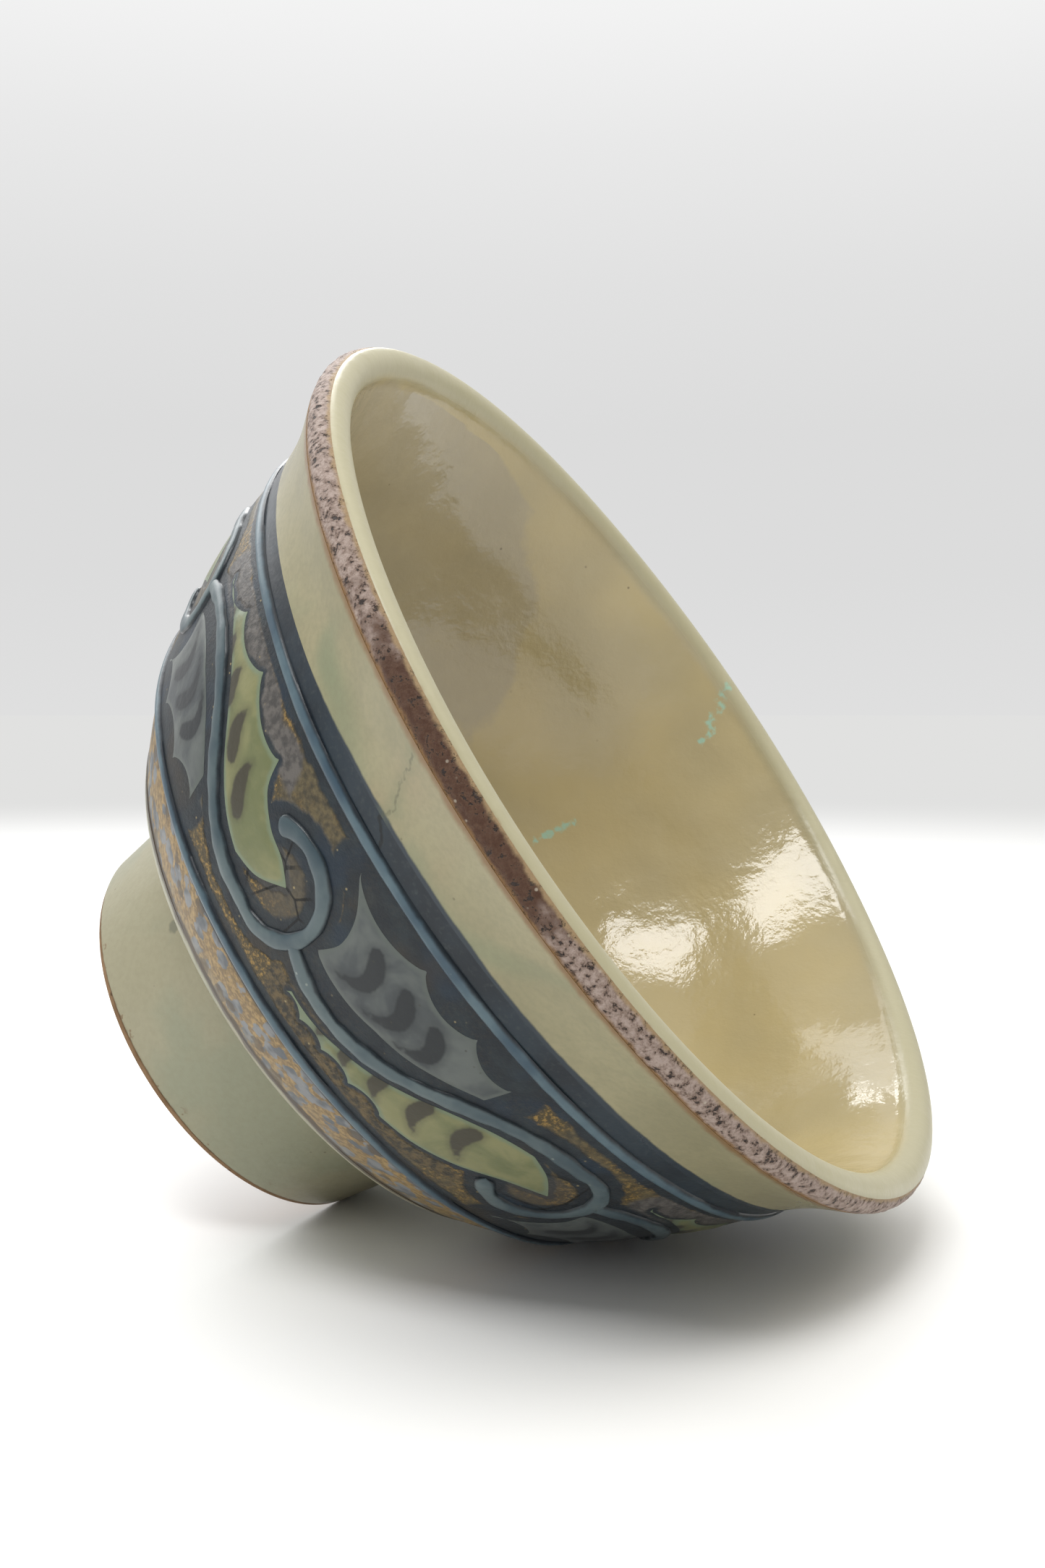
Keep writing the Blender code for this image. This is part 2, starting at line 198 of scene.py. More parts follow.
def lattice_noise(points, cell, seed):
    """Smooth value noise from -1 to 1 at points in metres, with bumps about cell millimetres across."""
    p = np.asarray(points, float) / (cell * MM)
    low = np.floor(p).astype(np.int64)
    f = p - low
    f = f * f * (3 - 2 * f)
    total = np.zeros(p.shape[:-1])
    for corner in range(8):
        d = np.array([(corner >> i) & 1 for i in range(3)])
        c = low + d
        h = (c[..., 0] * 73856093) ^ (c[..., 1] * 19349663) ^ (c[..., 2] * 83492791) ^ (seed * 2654435761)
        h = (h ^ (h >> 13)) * 1274126177
        value = ((h ^ (h >> 16)) & 0xFFFF) / 32767.5 - 1.0
        weight = np.prod(np.where(d == 1, f, 1 - f), axis=-1)
        total += value * weight
    return total


def wobble(angle, arc):
    """Slow unevenness of the thrown wall, in millimetres; arc counts from the top of the lip either way."""
    slow = 0.16 * np.sin(2 * angle + 0.7) + 0.09 * np.sin(3 * angle + 0.11 * arc)
    return slow + 0.05 * np.sin(5 * angle - 0.2 * arc)


# --- mesh building ---

def add_piece(name, points, faces, mat, replaced, fields=None, crease=40.0):
    """A mesh object from points in bowl coordinates, kept in the row's frame, with float attributes."""
    placed = np.asarray(points, float) @ np.array(BOWL.to_3x3()).T + np.array(BOWL.translation)
    mesh = bpy.data.meshes.new(name)
    mesh.vertices.add(len(points))
    mesh.vertices.foreach_set("co", placed.astype(np.float32).ravel())
    if isinstance(faces, list):
        sizes = np.array([len(f) for f in faces])
        loops = np.concatenate([np.asarray(f) for f in faces])
    else:
        sizes = np.full(len(faces), faces.shape[1])
        loops = faces.ravel()
    mesh.loops.add(len(loops))
    mesh.loops.foreach_set("vertex_index", loops.astype(np.int32))
    mesh.polygons.add(len(sizes))
    starts = np.concatenate([[0], np.cumsum(sizes)[:-1]]).astype(np.int32)
    mesh.polygons.foreach_set("loop_start", starts)
    mesh.update(calc_edges=True)
    mesh.validate()
    mesh.polygons.foreach_set("use_smooth", np.ones(len(mesh.polygons), bool))
    mesh.set_sharp_from_angle(angle=math.radians(crease))
    for key, values in (fields or {}).items():
        layer = mesh.attributes.new(key, "FLOAT", "POINT")
        layer.data.foreach_set("value", np.asarray(values, np.float32).ravel())
    mesh.materials.append(mat)
    obj = bpy.data.objects.new(name, mesh)
    bpy.context.scene.collection.objects.link(obj)
    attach(obj, "root")
    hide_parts(*replaced)


def turned_skin(name, outline, start, end, rows, columns, mat, replaced, relief=None, fields=None,
                lead=0.0):
    """A closed ring of glaze, with a front in relief; the outline leads the top of the lip by lead."""
    angle = np.linspace(-math.pi, math.pi, columns, endpoint=False)
    arc = np.linspace(start, end, rows)
    front_angle, front_arc = np.meshgrid(angle, arc)
    steady = np.clip(outline.at(front_arc)[0] / STEADY_RADIUS, 0, 1)
    offset = steady * wobble(front_angle, front_arc - lead)
    if relief is not None:
        offset = offset + relief(front_angle, front_arc)
    front = outline.place(front_angle, front_arc, offset)
    back_arc = np.linspace(end, start, max(3, rows // 6))
    back_angle, back_grid = np.meshgrid(angle, back_arc)
    behind = outline.place(back_angle, back_grid, -GLAZE + wobble(back_angle, back_grid - lead))
    points = np.concatenate([front, behind])
    total = len(points)
    index = np.arange(total * columns).reshape(total, columns)
    right = np.roll(index, -1, axis=1)
    below = np.roll(index, -1, axis=0)
    faces = np.stack([index, below, np.roll(below, -1, axis=1), right], -1).reshape(-1, 4)
    values = {"fall": np.concatenate([front_arc, back_grid])}
    for key, make in (fields or {}).items():
        values[key] = np.concatenate([make(front_angle, front_arc), np.full(behind.shape[:2], FAR)])
    add_piece(name, points.reshape(-1, 3), faces, mat, replaced, values)


def turned_solid(name, outline, columns, mat, replaced):
    """A plain turned solid; its (radius, height) outline starts and ends on the axis, or closes."""
    bm = bmesh.new()
    verts = [bm.verts.new((r * MM, 0.0, z * MM)) for r, z in outline]
    pairs = list(zip(verts, verts[1:]))
    if outline[0][0] > 0:
        pairs.append((verts[-1], verts[0]))
    edges = [bm.edges.new(p) for p in pairs]
    bmesh.ops.spin(bm, geom=verts + edges, axis=(0, 0, 1), cent=(0, 0, 0), angle=2 * math.pi,
                   steps=columns, use_merge=True)
    bmesh.ops.remove_doubles(bm, verts=bm.verts, dist=1e-6)
    bmesh.ops.recalc_face_normals(bm, faces=bm.faces)
    points = np.array([tuple(v.co) for v in bm.verts])
    bm.verts.index_update()
    faces = [[v.index for v in f.verts] for f in bm.faces]
    bm.free()
    add_piece(name, points, faces, mat, replaced, {"height": points[:, 2] / MM}, crease=30.0)


# --- the scroll pattern ---

def wave_angle(phase):
    """Angle round the bowl of a place on the frieze; the waves drift from wide to narrow."""
    turn = 2 * math.pi * np.asarray(phase) / WAVES
    return WAVE_START + turn + WAVE_DRIFT * np.sin(turn)


PHASES = np.linspace(-WAVES, 2 * WAVES, 6001)
PHASE_ANGLES = wave_angle(PHASES)


def pattern_place(angle, arc):
    """Wave number and local (x, y) of a point on the frieze."""
    phase = np.interp(angle, PHASE_ANGLES, PHASES)
    wave = np.floor(phase).astype(int)
    side = np.where(wave % 2 == 0, 1.0, -1.0)
    return wave, (phase - wave) * WAVE_LENGTH, side * (MIDDLE - arc)


def on_frieze(wave, xy, lift):
    """Bowl coordinates of points given in one wave's own (x, y), lifted off the glaze."""
    side = 1.0 if wave % 2 == 0 else -1.0
    angle = wave_angle(wave + xy[..., 0] / WAVE_LENGTH)
    arc = MIDDLE - side * xy[..., 1]
    return SKIN.place(angle, arc, lift + wobble(angle, arc))


def bent_line(points):
    """A smooth curve stepped for the pattern."""
    return smooth_curve(points, 12)


def stem_path():
    """Middle line of a stem: it springs from one volute's flank, crests, and curls into the next."""
    angles = np.radians(np.linspace(*VOLUTE_TURN, 80))
    radius = VOLUTE_RADIUS * (0.96 + 0.04 * np.cos(angles - math.radians(96.0)))
    curl = np.stack([VOLUTE[0] + radius * np.cos(angles), VOLUTE[1] + radius * np.sin(angles)], 1)
    return np.concatenate([bent_line(STEM_LINE + [tuple(curl[0])]), curl[1:]])


STEM = stem_path()
RISE_END = int(np.argmax(STEM[:, 1]))


def stem_height(x):
    """Height of a stem's middle line along its rising part."""
    return np.interp(x, STEM[:RISE_END, 0], STEM[:RISE_END, 1])


def scalloped(cusps, depth, side=1.0):
    """An edge with pointed cusps and a round bite between each pair."""
    edge = []
    for (ax, ay), (bx, by) in zip(cusps, cusps[1:]):
        t = np.linspace(0.0, 1.0, 26, endpoint=False)
        bite = depth * min(1.0, abs(bx - ax) / 9.0) * np.sin(math.pi * t) ** 0.65
        edge.append(np.stack([ax + (bx - ax) * t, ay + (by - ay) * t - side * bite], 1))
    return np.concatenate(edge + [[cusps[-1]]])


SLATE_CUSPS = ([(5.0, 10.7), (17.2, 10.8), (26.3, 10.5), (33.6, 9.3)],
               [(4.6, 10.4), (14.0, 10.9), (24.6, 10.6), (32.6, 9.2)])
GREEN_CUSPS = ([(10.8, -8.4), (14.6, -9.3), (19.2, -9.4), (24.6, -9.4), (30.4, -9.0)],
               [(11.6, -8.5), (19.6, -9.9), (29.0, -10.0), (39.2, -7.7)])
GREEN_TOES = ([(30.4, -9.0), (35.8, -8.0), (41.2, -5.6), (46.4, -1.9), (51.6, 0.4)],
              [(39.2, -7.7), (40.8, -4.4), (44.6, -2.3), (48.2, -1.7), (51.2, -0.2)])


def slate_outline(kind):
    """Leaf on the outer side of a stem, with a scalloped edge towards the border."""
    top = scalloped(SLATE_CUSPS[kind], 1.9)
    low_x = np.linspace(top[-1, 0], 9.6, 60)[1:]
    gap = np.interp(low_x, [9.6, 20.0, 34.0], [3.5, 4.2, 2.7])
    low = np.minimum(stem_height(low_x) + gap, top[-1, 1] - 0.1)
    flank = bent_line([(9.0, -0.4), (9.9, 3.0), (8.5, 6.9), (5.3, 10.2)])
    return np.concatenate([top, np.stack([low_x, low], 1), flank])


def green_outline(kind):
    """Leaf on the inner side of a stem, running into the volute's eye."""
    low = scalloped(GREEN_CUSPS[kind], 1.7, side=-1.0)
    toe = bent_line(GREEN_TOES[kind])[1:]
    back = bent_line([tuple(toe[-1]), (47.6, 3.2), (43.4, 4.6)])[1:]
    top_x = np.linspace(43.0, low[0, 0] + 0.4, 80)
    top = np.stack([top_x, stem_height(top_x) - np.interp(top_x, [11.0, 20.0, 43.0], [3.0, 2.3, 2.5])], 1)
    return np.concatenate([low, toe, back, top])


def stroke_points(head, belly, tail, thick):
    """A comma brush stroke as circles along a bent line: (x, y, radius) rows."""
    t = np.linspace(0.0, 1.0, 24)
    mid = 2 * np.array(belly) - (np.array(head) + np.array(tail)) / 2
    line = np.outer((1 - t) ** 2, head) + np.outer(2 * t * (1 - t), mid) + np.outer(t ** 2, tail)
    radius = thick * np.interp(t, [0.0, 0.12, 0.45, 1.0], [0.75, 1.0, 0.95, 0.15])
    return np.column_stack([line, radius])


SLATE_STROKES = [stroke_points((x + 0.8, 6.7), (x + 2.8, 2.9 + lift), (x - 0.8, -0.1 + lift), 1.25)
                 for x, lift in ((12.2, 0.0), (17.6, 0.1), (22.6, 0.7))]
GREEN_SPOTS = ((17.4, -7.9, 0.5, 0.7), (21.8, -7.0, 1.1, 0.95), (27.0, -5.9, 1.8, 1.1),
               (32.8, -4.1, 2.5, 1.25), (38.6, -1.7, 2.7, 1.3))


def green_strokes(kind):
    """Comma strokes along the inner leaf; they lean the other way on every second wave."""
    strokes = []
    for x, y, size, width in GREEN_SPOTS:
        lean = 0.5 - kind
        y = y + 0.5 * kind
        strokes.append(stroke_points((x - size * lean, y + size), (x - size * 0.45, y),
                                     (x + size * 1.2 * lean + 0.1, y - size), width))
    return strokes


def resampled(outline, step):
    """A closed outline as evenly spaced points."""
    closed = np.concatenate([outline, outline[:1]])
    length = running_length(closed)
    places = np.linspace(0.0, length[-1], int(length[-1] / step), endpoint=False)
    return np.stack([np.interp(places, length, closed[:, i]) for i in (0, 1)], 1)


def nearest(points, targets):
    """Distance in millimetres from each 2-D point to the nearest of the targets."""
    tree = kdtree.KDTree(len(targets))
    for i, (x, y) in enumerate(targets):
        tree.insert((x, y, 0.0), i)
    tree.balance()
    flat = np.asarray(points, float).reshape(-1, 2)
    return np.array([tree.find((x, y, 0.0))[2] for x, y in flat]).reshape(points.shape[:-1])


def stroke_distance(points, strokes):
    """Distance outside the nearest stroke's edge, negative inside."""
    best = np.full(points.shape[:-1], FAR)
    for stroke in strokes:
        for x, y, radius in stroke:
            best = np.minimum(best, np.hypot(points[..., 0] - x, points[..., 1] - y) - radius)
    return best


def inside(points, outline):
    """Whether 2-D points lie inside a closed outline, by the crossing rule."""
    x, y = points[:, 0], points[:, 1]
    hit = np.zeros(len(points), bool)
    for (ax, ay), (bx, by) in zip(outline, np.roll(outline, -1, axis=0)):
        crosses = (ay > y) != (by > y)
        with np.errstate(divide="ignore", invalid="ignore"):
            at = (bx - ax) * (y - ay) / (by - ay) + ax
        hit ^= crosses & (x < at)
    return hit


def leaf_plan(outline):
    """Triangulates a leaf outline with points inside, so that it can bend round the bowl."""
    border = resampled(outline, LEAF_EDGE_STEP)
    low, high = border.min(0), border.max(0)
    across, up = (np.arange(low[i], high[i], LEAF_FILL_STEP) for i in (0, 1))
    grid = np.stack(np.meshgrid(across, up), -1)
    grid[1::2, :, 0] += LEAF_FILL_STEP / 2
    grid = grid.reshape(-1, 2)
    grid = grid[inside(grid, border)]
    grid = grid[nearest(grid, border) > 0.35]
    points = np.concatenate([border, grid])
    edges = [(i, (i + 1) % len(border)) for i in range(len(border))]
    made = geometry.delaunay_2d_cdt([Vector(p) for p in points], edges, [], 1, 1e-5)
    verts = np.array([tuple(v) for v in made[0]])
    faces = np.array([f for f in made[2] if len(f) == 3])
    return verts, faces, border


def leaf_piece(name, wave, plan, strokes, rise, mat, replaced):
    """A pool of coloured glaze with a rounded rim, laid on the ground of the frieze."""
    verts, faces, border = plan
    depth = nearest(verts, border)
    lift = rise * (1 - np.exp(-depth / LEAF_ROUNDING)) + 0.02
    count = len(verts)
    top = on_frieze(wave, verts, lift)
    base = on_frieze(wave, verts, np.full(count, LEAF_ROOT))
    if wave % 2 == 0:
        upper, lower = faces, faces[:, ::-1] + count
    else:
        upper, lower = faces[:, ::-1], faces + count
    edges = {edge: True for f in upper for edge in zip(f, np.roll(f, -1))}
    walls = [(b, a, a + count, b + count) for a, b in edges if (b, a) not in edges]
    all_faces = [list(f) for f in upper] + [list(f) for f in lower] + [list(w) for w in walls]
    stroke = stroke_distance(verts, strokes)
    fields = {"stroke": np.tile(stroke, 2), "depth": np.tile(depth, 2)}
    add_piece(name, np.concatenate([top, base]), all_faces, mat, replaced, fields, crease=50.0)


def stem_piece(wave, mat):
    """A trailed line of slip, half round, with a fuller round head inside the volute."""
    count = len(STEM)
    along = np.gradient(STEM, axis=0)
    along /= np.linalg.norm(along, axis=1)[:, None]
    across = np.stack([-along[:, 1], along[:, 0]], 1)
    length = running_length(STEM)
    uneven = 0.92 + 0.1 * np.sin(length * 0.5 + wave) + 0.05 * np.sin(length * 1.7 + 2 * wave)
    half = STEM_WIDTH / 2 * uneven
    from_head = length[-1] - length
    half = half * (1 + 0.42 * np.exp(-((from_head - 1.2) / 1.6) ** 2))
    near_head = np.clip(from_head / 1.3, 0, 1)
    half = half * np.clip(np.sqrt(near_head * (2 - near_head)), 0.02, 1)
    half = half * (0.8 + 0.2 * np.clip(length / 3.0, 0, 1))
    fullness = (half / (STEM_WIDTH / 2)) ** 0.5
    turns = np.linspace(0.0, math.pi, 11)
    rows = []
    for t in turns:
        spot = STEM + across * (half * math.cos(t))[:, None]
        rise = STEM_RISE * math.sin(t) ** 0.8 if 0 < t < math.pi else -0.2
        rows.append(on_frieze(wave, spot, rise * fullness))
    base = on_frieze(wave, STEM, np.full(count, STEM_ROOT))
    points = np.stack(rows + [base], 1)
    ring = points.shape[1]
    index = np.arange(count * ring).reshape(count, ring)
    faces = []
    for i in range(count - 1):
        for j in range(ring):
            k = (j + 1) % ring
            faces.append([index[i, j], index[i + 1, j], index[i + 1, k], index[i, k]])
    faces.append(list(index[0]))
    faces.append(list(index[-1][::-1]))
    if wave % 2:
        faces = [f[::-1] for f in faces]
    middle = np.tile(np.concatenate([np.abs(np.cos(turns)), [1.0]]), (count, 1))
    add_piece(f"slip_stem_{wave + 1}", points.reshape(-1, 3), faces, mat,
              [f"scroll_stem_{wave + 1}"], {"middle": middle}, crease=60.0)


# --- materials ---

def rgb(*levels):
    """Linear colour from eight-bit display values."""
    shares = (level / 255 for level in levels)
    return (*(v / 12.92 if v <= 0.04045 else ((v + 0.055) / 1.055) ** 2.4 for v in shares), 1.0)


class Paint:
    """A small builder for one procedural material."""

    def __init__(self, name, roughness, specular):
        self.mat = bpy.data.materials.new(name)
        self.mat.use_nodes = True
        self.tree = self.mat.node_tree
        self.shader = self.tree.nodes["Principled BSDF"]
        self.shader.inputs["Roughness"].default_value = roughness
        self.shader.inputs["Specular IOR Level"].default_value = specular
        self.coords = self.node("TexCoord").outputs["Object"]

    def node(self, kind):
        return self.tree.nodes.new("ShaderNode" + kind)

    def put(self, socket, value):
        """Links a node's output to a socket, or sets the socket to a plain value."""
        if isinstance(value, bpy.types.NodeSocket):
            self.tree.links.new(value, socket)
        else:
            socket.default_value = value

    def field(self, name):
        node = self.node("Attribute")
        node.attribute_name = name
        return node.outputs["Fac"]

    def noise(self, size, detail=3.0, rough=0.55, distortion=0.0):
        """Noise from 0 to 1 with features about size millimetres across."""
        node = self.node("TexNoise")
        node.inputs["Scale"].default_value = 1.0 / (size * MM)
        node.inputs["Detail"].default_value = detail
        node.inputs["Roughness"].default_value = rough
        node.inputs["Distortion"].default_value = distortion
        self.put(node.inputs["Vector"], self.coords)
        return node.outputs["Fac"]

    def cells(self, size, feature="F1"):
        """Distances in a scatter of cells about size millimetres across."""
        node = self.node("TexVoronoi")
        node.feature = feature
        node.inputs["Scale"].default_value = 1.0 / (size * MM)
        self.put(node.inputs["Vector"], self.coords)
        return node.outputs["Distance"]

    def sum(self, operation, a, b=0.0):
        node = self.node("Math")
        node.operation = operation
        self.put(node.inputs[0], a)
        self.put(node.inputs[1], b)
        return node.outputs[0]

    def plus(self, a, b):
        return self.sum("ADD", a, b)

    def times(self, a, b):
        return self.sum("MULTIPLY", a, b)

    def centred(self, size, detail, amount):
        """Noise about zero, in millimetres."""
        return self.times(self.sum("SUBTRACT", self.noise(size, detail), 0.5), amount)

    def wander(self, value, size, detail, amount):
        """A measure made uneven, for wandering edges."""
        return self.plus(value, self.centred(size, detail, amount))

    def step(self, value, low, high, start=0.0, end=1.0):
        """Smooth step from start to end as the value goes from low to high."""
        node = self.node("MapRange")
        node.interpolation_type = "SMOOTHSTEP"
        keys = ("Value", "From Min", "From Max", "To Min", "To Max")
        for key, number in zip(keys, (value, low, high, start, end)):
            self.put(node.inputs[key], number)
        return node.outputs["Result"]

    def blotch(self, size, detail, *limits):
        """Soft blotches about size millimetres across."""
        return self.step(self.noise(size, detail), *limits)

    def mix(self, factor, a, b):
        """Colour a, turning to colour b as the factor goes to 1."""
        node = self.node("Mix")
        node.data_type = "RGBA"
        self.put(node.inputs[0], factor)
        self.put(node.inputs[6], a)
        self.put(node.inputs[7], b)
        return node.outputs[2]

    def specks(self, colour, ground, size, spacing, amount=1.0):
        """Small dark or light specks of a colour over a ground."""
        spot = self.step(self.cells(spacing), size / spacing, size / spacing * 0.4)
        patchy = self.step(self.noise(spacing * 2.6, 1.0), 0.5, 0.62)
        return self.mix(self.times(self.times(spot, patchy), amount), ground, colour)

    def bump(self, height, depth, below=None):
        """Relief of up to depth millimetres, over the relief below it."""
        node = self.node("Bump")
        node.inputs["Distance"].default_value = depth * MM
        self.put(node.inputs["Height"], height)
        if below is not None:
            self.put(node.inputs["Normal"], below)
        return node.outputs["Normal"]

    def finish(self, colour, normal=None, roughness=None):
        self.put(self.shader.inputs["Base Color"], colour)
        if normal is not None:
            self.put(self.shader.inputs["Normal"], normal)
        if roughness is not None:
            self.put(self.shader.inputs["Roughness"], roughness)
        return self.mat


INK = rgb(34, 40, 46)
NAVY = rgb(38, 48, 56)
RUST = rgb(62, 50, 38)


def glaze_bump(p, fine=0.02, broad=0.12):
    wavy = p.bump(p.noise(7.0, 2.0), broad)
    return p.bump(p.noise(0.9, 2.0), fine, below=wavy)


def celadon_colour(p):
    mottled = p.mix(p.blotch(14.0, 3.0, 0.38, 0.66), rgb(138, 132, 102), rgb(150, 143, 111))
    green = p.mix(p.step(p.noise(24.0, 2.0, distortion=0.6), 0.52, 0.74), mottled, rgb(125, 130, 101))
    warm = p.mix(p.blotch(19.0, 2.0, 0.6, 0.78, 0.0, 0.7), green, rgb(148, 134, 103))
    fine = p.mix(p.blotch(0.7, 3.0, 0.3, 0.75, 0.0, 0.25), warm, rgb(119, 115, 90))
    return p.specks(rgb(98, 90, 68), fine, 0.26, 3.2, 0.7)


def neck_material():
    p = Paint("celadon_neck", 0.27, specular=0.4)
    fall = p.field("fall")
    rust = p.mix(p.step(p.wander(fall, 2.2, 3.0, 1.3), IRON_END + 0.3, IRON_END + 1.5),
                 rgb(124, 96, 62), celadon_colour(p))
    wander = p.wander(fall, 60.0, 1.0, 3.4)
    edge = p.wander(wander, 3.0, 3.0, 0.5)
    navy = p.mix(p.step(edge, STRIPE - 0.55, STRIPE - 0.15), rust, NAVY)
    crack = p.wander(p.field("crack"), 0.8, 3.0, 0.25)
    hairline = p.mix(p.step(crack, 0.24, 0.02, 0.0, 0.5), navy, rgb(60, 60, 46))
    stained = p.mix(p.step(crack, 1.6, 0.1, 0.0, 0.22), hairline, rgb(104, 112, 84))
    return p.finish(stained, glaze_bump(p))


def iron_material():
    p = Paint("iron_wash", 0.6, specular=0.4)
    toast = p.wander(p.field("toast"), 5.0, 3.0, 1.2)
    base = p.mix(p.step(toast, 0.95, 1.3), rgb(164, 147, 137), rgb(68, 38, 18))
    grain = p.mix(p.step(p.noise(0.9, 4.0, 0.7), 0.35, 0.7), base, rgb(92, 66, 48))
    pits = p.step(p.noise(0.9, 3.0, 0.75), 0.57, 0.66)
    dark = p.mix(p.times(pits, 0.85), grain, rgb(30, 25, 26))
    pale = p.specks(rgb(176, 166, 150), dark, 0.24, 1.6, 0.7)
    fall = p.field("fall")
    ragged = p.wander(fall, 1.6, 3.0, 1.2)
    top = p.mix(p.step(ragged, 0.1, 0.7), rgb(150, 126, 92), pale)
    low = p.mix(p.step(ragged, IRON_END - 0.6, IRON_END + 0.2), top, rgb(126, 94, 56))
    return p.finish(low, p.bump(p.noise(0.5, 4.0, 0.7), 0.3, below=p.bump(pits, -0.25)))


def toast_field(angle, arc):
    """How brown the iron wash has burnt; it turns mauve where it is thick."""
    turn = angle + math.radians(89.0)
    return np.cos(2 * turn) + 0.5 * np.cos(3 * turn) + 0 * arc


def liner_material():
    p = Paint("cream_liner", 0.14, specular=0.55)
    warm = p.mix(p.blotch(34.0, 2.0, 0.4, 0.62), rgb(165, 153, 118), rgb(178, 163, 121))
    # The greyer pool here is a painted reflection of the surroundings on the upper liner, not a colour of the
    # glaze.
    painted_reflection = p.wander(p.field("painted_reflection"), 8.0, 5.0, 11.0)
    grey_reflection = p.mix(p.step(painted_reflection, -0.6, 2.2, 0.0, 0.6), warm, rgb(153, 145, 125))
    cloudy = p.mix(p.blotch(5.0, 4.0, 0.4, 0.8, 0.0, 0.25), grey_reflection, rgb(178, 166, 133))
    fall = p.field("fall")
    lip = p.mix(p.step(p.wander(fall, 12.0, 2.0, 2.0), 4.4, 7.0), rgb(168, 162, 132), cloudy)
    ragged = p.wander(fall, 1.4, 3.0, 0.8)
    worn = p.mix(p.step(ragged, 0.5, 0.1, 0.0, 0.8), lip, rgb(150, 130, 96))
    fleck = p.wander(p.field("fleck"), 1.1, 4.0, 2.2)
    turquoise = p.mix(p.step(fleck, 0.8, 0.1, 0.0, 0.8), worn, rgb(150, 192, 174))
    dark = p.specks(rgb(88, 74, 50), turquoise, 0.3, 5.5, 0.7)
    wavy = p.bump(p.noise(4.5, 4.0, 0.6), 0.2, below=p.bump(p.noise(14.0, 1.0), 0.6))
    return p.finish(dark, wavy, p.step(fall, 4.0, 7.0, 0.4, 0.13))


def navy_material():
    p = Paint("navy_stripe", 0.3, specular=0.28)
    shade = p.mix(p.blotch(9.0, 3.0, 0.35, 0.7), NAVY, rgb(30, 36, 42))
    fine = p.mix(p.blotch(0.6, 3.0, 0.5, 0.8, 0.0, 0.5), shade, rgb(62, 68, 68))
    crack = p.mix(p.step(p.field("crack"), 0.3, 0.05, 0.0, 0.8), fine, rgb(16, 18, 18))
    return p.finish(crack, glaze_bump(p, 0.03))


def slip_colour(p, light, dark):
    body = p.mix(p.blotch(8.0, 3.0, 0.35, 0.65), dark, light)
    cloud = p.mix(p.blotch(1.6, 3.0, 0.45, 0.8, 0.0, 0.4), body, dark)
    return p.specks(rgb(150, 156, 146), cloud, 0.25, 2.6, 0.6)


def cord_material(name, centre):
    p = Paint(name, 0.32, specular=0.3)
    off = p.sum("ABSOLUTE", p.sum("SUBTRACT", p.field("fall"), centre))
    rub = p.wander(off, 3.0, 3.0, 0.55)
    slip = slip_colour(p, rgb(85, 104, 112), rgb(58, 77, 90))
    edge = p.mix(p.step(rub, HALF_CORD - 0.5, HALF_CORD - 0.05), slip, INK)
    return p.finish(edge, glaze_bump(p, 0.03))


def stem_material():
    p = Paint("blue_slip_stem", 0.3, specular=0.32)
    rub = p.wander(p.field("middle"), 2.0, 3.0, 0.4)
    edge = p.mix(p.step(rub, 0.66, 0.99), slip_colour(p, rgb(87, 100, 102), rgb(60, 75, 82)), rgb(34, 41, 46))
    return p.finish(edge, glaze_bump(p, 0.03))


